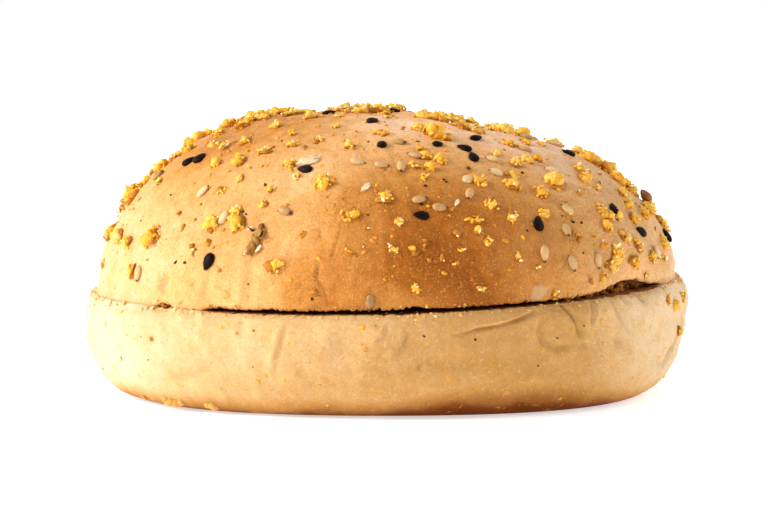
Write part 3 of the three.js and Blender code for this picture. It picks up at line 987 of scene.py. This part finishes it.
maltGrain = {
    "stops": [(0.0, "#653a0e"), (0.45, "#9a6624"), (1.0, "#c99c58")],
    "body": {"length": 3.6, "width": 2.1, "thickness": 1.7, "taper": 0.3, "detail": 3},
    "parts": [(253, 248, 66, 0.8, 0.35), (260, 236, 52, 0.75, 0.75), (256, 242, 80, 0.8, 0.55),
              (262, 229, 84, 0.5, 0.2), (250, 252, 30, 0.45, 0.9)],
    # dark slivers along the grain's cracks: painted shade in them
    "cracks": [(264, 237, 62, 0.7), (252, 232, 150, 0.75), (255, 234, 15, 0.4)],
    "rim": [(259, 249, 52, 0.5), (246, 253, 70, 0.25), (251, 229, 20, 0.35)],
}  # x, y, the angle shown, the size and the tone
slitCrumbs = {
    "brownStops": [(0.0, "#7c4a1e"), (0.25, "#b9782c"), (1.0, "#e6b873")],
    "paleStops": [(0.0, "#c98f3e"), (0.5, "#dcae66"), (1.0, "#eccd98")],
    "count": 1300,
    "size": (0.08, 0.3),
    "bridgeSize": (0.2, 0.5),  # crumbs that still join the halves, where the knife hardly opened them
    "bridges": [(-100, -50, 70), (-50, -45, 10), (-45, -36, 26), (66, 112, 60), (8, 10, 5), (13.5, 15, 3),
                (36, 43, 8)],
    # crumbs inside the open cut, whose darker browns are painted shade of the slit
    "inside": [(-49.8, -45.4, 52.4, 54.0, 40), (46.5, 68, 48.5, 52, 330), (40, 46.5, 50.5, 52.5, 50)],
    "insideSize": (0.25, 0.6),
    "footLumps": [
        (166, 399, 0.9), (171, 401, 1.15), (177, 403, 1.0), (181, 402, 0.7), (208, 405, 0.85),
        (213, 406, 0.95), (217, 407, 0.6),
    ],  # x, y and half width in mm
}  # angles, then for the ones inside the cut their distance from the middle, and how many


justHidden = -0.16  # for seeds: far enough behind the outline to leave it as the photo shows it
backSide = {"highest": 18, "firstAngle": 95, "lastAngle": 265}  # of the heel, hidden in the photo


# Places in plan, evenly, on the part of the crust that the photo doesn't show. below is the largest
# cosine between crust and line of sight.
def hiddenSpots(surface, seed, count, reach, below):
    draw = random.Random(seed)
    spots = []
    while len(spots) < count:
        radius = reach * bun["crownEdge"] * math.sqrt(draw.random())
        turn = draw.uniform(0, 2 * math.pi)
        start = Vector((radius * math.sin(turn), -radius * math.cos(turn), 100))
        at, normal, _, _ = surface.ray_cast(start, Vector((0, 0, -1)))
        if at is None or at.z < bun["cut"] + 4:
            continue
        if normal.dot((viewPoint - at).normalized()) < below:
            spots.append((at, normal))
    return spots


def anyTurn(draw, normal):
    turn = normal.to_track_quat("Z", "Y").to_matrix().to_4x4()
    return turn @ Matrix.Rotation(draw.uniform(0, 2 * math.pi), 4, "Z")


# One cracked grit: a few lumps under a crust of small flakes, the outer ones palest. The crust is
# amber round its foot.
def gritCluster(draw, shapes, at, normal, lumps):
    copies = []
    turn = anyTurn(draw, normal)
    reach = grits["least"] + grits["more"] * lumps
    stretch = draw.uniform(0.75, 1.3)
    tone = draw.uniform(0.34, 0.62)
    copies.append(singleShard(draw, shapes, at, normal, reach, 0.25, 0.05, -0.25))

    def layShard(out, rise, half, flat, brighter):
        around = draw.uniform(0, 2 * math.pi)
        offset = (math.cos(around) * out * stretch, math.sin(around) * out / stretch, rise)
        spot = at + turn @ Vector(offset)
        size = (half * draw.uniform(0.8, 1.3), half * draw.uniform(0.6, 1.0), half * flat)
        tilt = (draw.uniform(0, 360), draw.uniform(0, 360))
        place = placeOn(anyTurn(draw, normal), spot, normal, size, 0, tilt)
        copies.append((draw.choice(shapes), place, tone + brighter))

    for _ in range(1 + lumps):
        out = reach * draw.uniform(0, 0.5)
        rise = reach * draw.uniform(0, 0.35)
        half = reach * draw.uniform(0.5, 0.8)
        layShard(out, rise, half, draw.uniform(0.55, 0.85), 0)
    for _ in range(4 + 3 * lumps):
        rise = draw.uniform(-0.05, 0.9)
        out = reach * math.sqrt(1 - rise * rise) * draw.uniform(0.7, 1.05)
        half = draw.uniform(*grits["flake"]) * (0.8 + 0.1 * lumps)
        flat = draw.uniform(0.25, 0.6)
        layShard(out, reach * rise * 0.75, half, flat, draw.uniform(-0.35, 0.2) + 0.45 * rise)
    return copies


def singleShard(draw, shapes, at, normal, half, flat, lift, tone):
    size = (half * draw.uniform(0.7, 1.3), half * draw.uniform(0.7, 1.3), half * flat)
    tilt = (draw.uniform(-25, 25), draw.uniform(-25, 25))
    return draw.choice(shapes), placeOn(anyTurn(draw, normal), at, normal, size, lift, tilt), tone


# A grit that sank in while baking: flat, glassy and amber, with one or two bright corners
def amberGrit(draw, shapes, at, normal, grow=1.0):
    copies = []
    half = draw.uniform(0.45, 0.95) * grow
    for _ in range(draw.choice((2, 3, 4))):
        spot = at + Vector([draw.uniform(-0.6, 0.6) * half for _ in range(3)])
        size = half * draw.uniform(0.4, 0.9)
        copies.append(singleShard(draw, shapes, spot, normal, size, 0.35, 0, draw.uniform(-0.35, 0.1)))
    for _ in range(draw.choice((0, 1, 2))):
        spot = at + Vector([draw.uniform(-0.8, 0.8) * half for _ in range(3)])
        tone = draw.uniform(0.5, 1.1)
        copies.append(singleShard(draw, shapes, spot, normal, half * 0.35, 0.7, 0.15, tone))
    return copies


def anySpot(draw, surface, reach, lowest):
    while True:
        radius = reach * bun["crownEdge"] * math.sqrt(draw.random())
        turn = draw.uniform(0, 2 * math.pi)
        start = Vector((radius * math.sin(turn), -radius * math.cos(turn), 100))
        at, normal, _, _ = surface.ray_cast(start, Vector((0, 0, -1)))
        if at is not None and at.z > lowest:
            return at, normal


def sideSpot(draw, surface, lowest, highest, firstAngle=0.0, lastAngle=360.0):
    turn = math.radians(draw.uniform(firstAngle, lastAngle))
    start = Vector((90 * math.sin(turn), -90 * math.cos(turn), draw.uniform(lowest, highest)))
    at, normal, _, _ = surface.ray_cast(start, Vector((-start.x, -start.y, 0)).normalized())
    return at, normal


def seedCopies(draw, kind, surface):
    shape = seedShape(kind)
    copies = []
    lift = kind["lift"]
    tip = kind["tip"] * ease(shape[0][:, 0] / kind["length"], 0.3, 0.5)
    for x, y, shownAngle, *given in kind["frontPixels"]:
        tilt = (draw.uniform(-12, 12), draw.uniform(-8, 8))
        grow = draw.uniform(0.92, 1.06)
        tone = given[0] if given else draw.random()
        grow = given[1] if len(given) > 1 else grow
        copies.append(shownCopy(shape, surface, (x, y), shownAngle, [grow] * 3, lift, tilt, tone - tip))
    hidden = hiddenSpots(surface, kind["backSeed"], kind["backCount"], kind["backReach"], justHidden)
    for at, normal in hidden:
        tilt = (draw.uniform(-14, 14), draw.uniform(-10, 10))
        grow = draw.uniform(0.88, 1.06)
        place = placeOn(anyTurn(draw, normal), at, normal, [grow] * 3, lift, tilt)
        copies.append((shape, place, draw.random() - tip))
    return copies


def toneOf(material):
    return addNode(material, "ShaderNodeAttribute", attribute_name="tone").outputs["Fac"]


# Cracked maize: hard, glassy yellow with floury breaks
def cornGritMaterial():
    material, place = newMaterial("crackedMaize")
    blotch = noiseAt(material, place, 1.6, 3.0, 0.6)
    mix = blendOf(material, ((toneOf(material), 0.75), (blotch, 0.3)), 0)
    colour = rampOf(material, mix, [
        (0.0, "#b46c02"), (0.25, "#e2920e"), (0.5, "#f9b12b"), (0.75, "#ffd062"), (1.0, "#fff0c4"),
    ])
    return finishMaterial(material, {
        "Base Color": colour, "Roughness": 0.5, "Specular IOR Level": 0.35,
        "Subsurface Weight": 0.2, "Subsurface Radius": (0.0014, 0.001, 0.0002), "Subsurface Scale": 1.0,
        "Normal": bumpOf(material, noiseAt(material, place, 0.3, 3.0, 0.65), 0.14, 0.8),
    })


# Seed hulls are dry and faintly waxy. stops run from the darkest seed to the palest.
def hullMaterial(name, stops, roughness, gloss):
    material, place = newMaterial(name)
    streaks = noiseAt(material, place, 0.9, 3.0, 0.6)
    mix = blendOf(material, ((toneOf(material), 0.7), (streaks, 0.3)), 0)
    colour = rampOf(material, mix, stops)
    return finishMaterial(material, {
        "Base Color": colour, "Roughness": roughness, "Specular IOR Level": gloss,
        "Normal": bumpOf(material, noiseAt(material, place, 0.35, 2.0), 0.06, 0.6),
    })


def layGrits(draw, crownTop, heelSide):
    shards = shardShapes(seed=3, count=20, uneven=0.45)
    maize = cornGritMaterial()
    copies = []
    for x, y, lumps in grits["frontPixels"]:
        copies += gritCluster(draw, shards, *hitAt(crownTop, (x, y)), lumps)
    hidden = hiddenSpots(crownTop, grits["backSeed"], grits["backCount"], reach=0.97, below=0.05)
    for at, normal in hidden:
        copies += gritCluster(draw, shards, at, normal, draw.choice((1, 1, 2, 2, 3, 4)))
    for pixel in grits["amberPixels"]:
        copies += amberGrit(draw, shards, *hitAt(crownTop, pixel))
    hidden = hiddenSpots(crownTop, grits["amberSeed"], grits["backCount"] // 3, reach=0.98, below=0)
    for at, normal in hidden:
        copies += amberGrit(draw, shards, at, normal)
    for _ in range(grits["dustCount"]):
        at, normal = anySpot(draw, crownTop, reach=0.985, lowest=bun["cut"] + 2)
        half = draw.uniform(*grits["dust"])
        tone = draw.uniform(-0.25, 0.4)
        copies.append(singleShard(draw, shards, at, normal, half, 0.5, 0.1 * half, tone))
    joinCopies("cornGrits", copies, maize, "crown", smooth=True)
    copies = []
    for x, y, lumps in grits["heelPixels"]:
        copies += gritCluster(draw, shards, *hitAt(heelSide, (x, y)), lumps)
    for x, y, grow in grits["amberHeel"]:
        copies += amberGrit(draw, shards, *hitAt(heelSide, (x, y)), grow)
    for _ in range(grits["heelBack"]):
        at, normal = sideSpot(draw, heelSide, lowest=4, **backSide)
        copies += gritCluster(draw, shards, at, normal, draw.choice((1, 1, 2)))
    for _ in range(grits["dustCount"] // 4):
        at, normal = sideSpot(draw, heelSide, lowest=2.5, highest=bun["cut"] - 1)
        half = draw.uniform(*grits["dust"]) * 0.8
        copies.append(singleShard(draw, shards, at, normal, half, 0.4, 0, draw.uniform(0.15, 0.6)))
    joinCopies("heelGrits", copies, maize, "heel", smooth=True)
    return shards


def laySeeds(draw, crownTop):
    for kind in (blackSesame, paleSesame, linseed):
        hull = hullMaterial(kind["hull"], kind["stops"], kind["roughness"], kind["gloss"])
        copies = seedCopies(draw, kind, crownTop)
        joinCopies(kind["piece"], copies, hull, "crown", smooth=True)


# Charred and broken bits of seed hull, smaller and paler on the heel
def layDarkBits(draw, shards, crownTop, heelSide, charred):
    crownSpots = [hitAt(crownTop, pixel) for pixel in darkBits["frontPixels"]]
    crownSpots += hiddenSpots(crownTop, darkBits["backSeed"], darkBits["backCount"], reach=0.97, below=0)
    layBits(draw, shards, "crownDarkBits", "crown", crownSpots, charred, grow=1, paler=0)
    heelSpots = [hitAt(heelSide, pixel) for pixel in darkBits["heelPixels"]]
    heelSpots += [sideSpot(draw, heelSide, lowest=3, **backSide) for _ in range(darkBits["backCount"] // 3)]
    layBits(draw, shards, "heelDarkBits", "heel", heelSpots, charred, grow=0.6, paler=0.2)


def layBits(draw, shards, name, node, spots, material, grow, paler):
    copies = []
    for at, normal in spots:
        half = draw.uniform(*darkBits["size"]) * grow
        copies.append(singleShard(draw, shards, at, normal, half, 0.6, 0.2 * half, draw.random() + paler))
    joinCopies(name, copies, material, node, smooth=False)


# A husk flake is a thin closed plate, curled along its length.
def flakeShape():
    selectNothing()
    bpy.ops.mesh.primitive_ico_sphere_add(subdivisions=3, radius=0.5 * mm, location=(0, 0, 0))
    flake = bpy.context.object
    points = readPoints(flake) / mm
    curl = 0.5 * points[:, 1] ** 2 - 0.25 * points[:, 0] ** 2
    ragged = np.array([noise.fractal(Vector((6 * x, 6 * y, 4)), 0.8, 2.0, 3) for x, y, _ in points])
    ragged = 1 + 0.5 * ragged
    points = np.stack([
        points[:, 0] * ragged * huskFlakes["length"],
        points[:, 1] * ragged * huskFlakes["width"],
        points[:, 2] * 0.22 + curl * huskFlakes["width"],
    ], 1)
    writePoints(flake, points * mm)
    return takeShape(flake)


def layFlakes(draw, crownTop):
    husk = hullMaterial("driedHusk", [(0.0, "#dcb985"), (1.0, "#f6e2bf")], 0.55, 0.2)
    shape = flakeShape()
    copies = []
    for x, y, shownAngle, grow, stand in huskFlakes["frontPixels"]:
        lift = 0.25 + 0.5 * math.sin(math.radians(stand))
        tone = draw.random()
        copies.append(shownCopy(shape, crownTop, (x, y), shownAngle, [grow] * 3, lift, (stand, 0), tone))
    seed, count = huskFlakes["backSeed"], huskFlakes["backCount"]
    hidden = hiddenSpots(crownTop, seed, count, reach=0.95, below=justHidden)
    for at, normal in hidden:
        grow = draw.uniform(0.6, 1.2)
        place = placeOn(anyTurn(draw, normal), at, normal, [grow] * 3, 0.25, (0, 0))
        copies.append((shape, place, draw.random()))
    for x, y, shownAngle, grow in maltGrain["rim"]:
        copies.append(shownCopy(shape, crownTop, (x, y), shownAngle, [grow] * 3, 0.4, (0, 0), 0.9))
    joinCopies("huskFlakes", copies, husk, "crown", smooth=True)


# One grain of malted wheat, cracked open, with bits of its husk round it
def layMaltGrain(crownTop, charred):
    malt = hullMaterial("maltedWheatGrain", maltGrain["stops"], 0.55, 0.15)
    points, faces = seedShape(maltGrain["body"])
    knobs = np.array([noise.fractal(Vector(p) * 1.8, 0.8, 2.0, 3) for p in points])
    body = (points * (1 + 0.6 * knobs)[:, None], faces)
    copies = []
    for x, y, shownAngle, grow, tone in maltGrain["parts"]:
        copies.append(shownCopy(body, crownTop, (x, y), shownAngle, [grow] * 3, 0.35, (12, 0), tone))
    joinCopies("maltGrain", copies, malt, "crown", smooth=True)
    copies = []
    # dark slivers along the cracks, painted shade in them
    for x, y, shownAngle, grow in maltGrain["cracks"]:
        size = (0.5 * grow, 0.1, 0.25)
        copies.append(shownCopy(body, crownTop, (x, y), shownAngle, size, 1.0, (0, 0), 0.1))
    joinCopies("maltCrackShade", copies, charred, "crown", smooth=True)


def crumbAt(draw, shards, surface, angle, level, sizes, whereClosed=False):
    turn = math.radians(angle)
    x, y = bun["crownEdge"] * math.sin(turn), -bun["crownEdge"] * math.cos(turn)
    start = Vector((2 * x, 2 * y, cutAt(x, y) + level))
    at, normal, _, _ = surface.ray_cast(start, Vector((-x, -y, 0)).normalized())
    if at is None or math.hypot(at.x, at.y) < bun["crownEdge"] - 4:
        return []
    if closedAt(angle) > 0.5 and not whereClosed:
        return []
    half = draw.uniform(*sizes)
    return [singleShard(draw, shards, at, normal, half, 0.5, 0, draw.random())]


# A crumb inside the open cut, in the darker browns: painted shade of the slit.
def insideCrumb(draw, shards, angle, radius):
    x, y = radius * math.sin(math.radians(angle)), -radius * math.cos(math.radians(angle))
    rise = draw.uniform(-0.1, 0.1 + float(slitAt(angle, 1.0)))
    at = Vector((x, y, cutAt(x, y) + rise))
    half = draw.uniform(*slitCrumbs["insideSize"])
    out = Vector((x, y, 0)).normalized()
    return singleShard(draw, shards, at, out, half, 0.7, 0, draw.uniform(-0.25, 0.15))


# Crumbs that the knife tore from a lip of the cut, low to high mm above it
def edgeCrumbs(draw, shards, surface, low, high):
    copies = []
    for _ in range(slitCrumbs["count"] // 2):
        angle, level = draw.uniform(-180, 180), draw.uniform(low, high)
        copies += crumbAt(draw, shards, surface, angle, level, slitCrumbs["size"])
    return copies


def laySlitCrumbs(draw, shards, crownTop, heelSide):
    # the browner crumbs are torn crust on the crown's lip, and painted shade inside the cut
    browner = hullMaterial("tornCrustAndSlitShade", slitCrumbs["brownStops"], 0.8, 0.15)
    paler = hullMaterial("tornPaleCrumb", slitCrumbs["paleStops"], 0.8, 0.1)
    copies = edgeCrumbs(draw, shards, crownTop, low=0.45, high=1.3)
    for first, last, deep, shallow, count in slitCrumbs["inside"]:
        for _ in range(count):
            copies.append(insideCrumb(draw, shards, draw.uniform(first, last), draw.uniform(deep, shallow)))
    joinCopies("crownEdgeCrumbs", copies, browner, "crown", smooth=True)
    copies = edgeCrumbs(draw, shards, heelSide, low=-0.7, high=0)
    pebbles = shardShapes(seed=13, count=8, uneven=0.16)
    for x, y, half in slitCrumbs["footLumps"]:
        at, normal = hitAt(heelSide, (x, y))
        tone = draw.uniform(-0.2, 0.2)
        copies.append(singleShard(draw, pebbles, at, normal, half, 0.75, 0.1, tone))
    for first, last, count in slitCrumbs["bridges"]:
        for _ in range(count):
            level = draw.uniform(-0.6, 0.5)
            angle = draw.uniform(first, last)
            copies += crumbAt(
                draw, shards, heelSide, angle, level, slitCrumbs["bridgeSize"], whereClosed=True,
            )
    joinCopies("heelEdgeCrumbs", copies, paler, "heel", smooth=True)


def makeToppings(crown, heel):
    draw = random.Random(23)
    crownTop, heelSide = surfaceOf(crown), surfaceOf(heel)
    shards = layGrits(draw, crownTop, heelSide)
    laySeeds(draw, crownTop)
    charred = hullMaterial("charredHull", darkBits["stops"], 0.6, 0.12)
    layDarkBits(draw, shards, crownTop, heelSide, charred)
    layFlakes(draw, crownTop)
    layMaltGrain(crownTop, charred)
    laySlitCrumbs(draw, shards, crownTop, heelSide)


studio = {
    "floorSize": 30,
    "skyFront": 0.22,  # soft light from the side where the photo was taken, and from behind the bun
    "skyBack": 1.0,
    "glowReach": (0.045, 0.1),  # metres from the middle, between which the paper gets brighter
    "glow": (0.55, 1.0),
    "key": {"at": (-1.15, -0.35, 0.7), "size": 0.7, "watts": 25},
    "fill": {"at": (1.2, -0.15, 0.55), "size": 0.8, "watts": 4.6},
}


# The sky lights the bun more from behind than from the front, and shows as plain white.
def makeSky():
    world = bpy.data.worlds.new("softBox")
    world.use_nodes = True
    world.node_tree.nodes.clear()
    way = addNode(world, "ShaderNodeTexCoord").outputs["Generated"]
    strength = addNode(world, "ShaderNodeMapRange", {
        "Value": partOf(world, way, "Y"), "From Min": -1,
        "To Min": studio["skyFront"], "To Max": studio["skyBack"],
    }).outputs["Result"]
    white = {"Color": (1, 1, 1, 1)}
    lit = addNode(world, "ShaderNodeBackground", {**white, "Strength": strength}).outputs[0]
    plain = addNode(world, "ShaderNodeBackground", white).outputs[0]
    seen = addNode(world, "ShaderNodeLightPath").outputs["Is Camera Ray"]
    mix = addNode(world, "ShaderNodeMixShader", {0: seen, 1: lit, 2: plain}).outputs[0]
    addNode(world, "ShaderNodeOutputWorld", {"Surface": mix})
    bpy.context.scene.world = world


def makeStudio():
    makeSky()
    for name in ("key", "fill"):
        light = studio[name]
        data = bpy.data.lights.new(name, "AREA")
        data.size = light["size"]
        data.energy = light["watts"]
        lamp = bpy.data.objects.new(name, data)
        lamp.location = light["at"]
        lamp.rotation_euler = Vector(light["at"]).to_track_quat("Z", "Y").to_euler()
        bpy.context.collection.objects.link(lamp)
    selectNothing()
    bpy.ops.mesh.primitive_plane_add(size=studio["floorSize"], location=(0, 0, 0))
    floor = bpy.context.object
    floor.name = "floor"
    paper, place = newMaterial("whitePaper")
    away = awayFrom(paper, place, (0, 0, 0))
    glow = rangeOf(paper, away, *studio["glowReach"], *studio["glow"])
    shader = addNode(paper, "ShaderNodeBsdfPrincipled", {
        "Base Color": toLinear("#fbfbfb"), "Roughness": 0.9, "Specular IOR Level": 0.1,
        "Emission Color": (1, 1, 1, 1), "Emission Strength": glow,
    })
    below = addNode(paper, "ShaderNodeNewGeometry").outputs["Backfacing"]
    clear = addNode(paper, "ShaderNodeBsdfTransparent").outputs["BSDF"]
    oneSided = addNode(paper, "ShaderNodeMixShader", {0: below, 1: shader.outputs["BSDF"], 2: clear})
    addNode(paper, "ShaderNodeOutputMaterial", {"Surface": oneSided.outputs["Shader"]})
    floor.data.materials.append(paper)
    view = bpy.context.scene.view_settings
    view.view_transform = "Standard"
    view.look = "None"


makeCamera()
makeStudio()
print("studio ready")
crown, crownCut = makeCrown()
print("crown", len(crown.data.polygons), "faces")
heel, heelCut = makeHeel()
print("heel", len(heel.data.polygons), "faces")
crumb = shadedWheatCrumb()
dressHalf(crown, bakedWheatCrust(), crumb, crownCut)
dressHalf(heel, paleWheatCrust(), crumb, heelCut)
for half, node in ((crown, "crown"), (heel, "heel")):
    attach(half, "root")
    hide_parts(node)
makeToppings(crown, heel)
print("toppings laid")
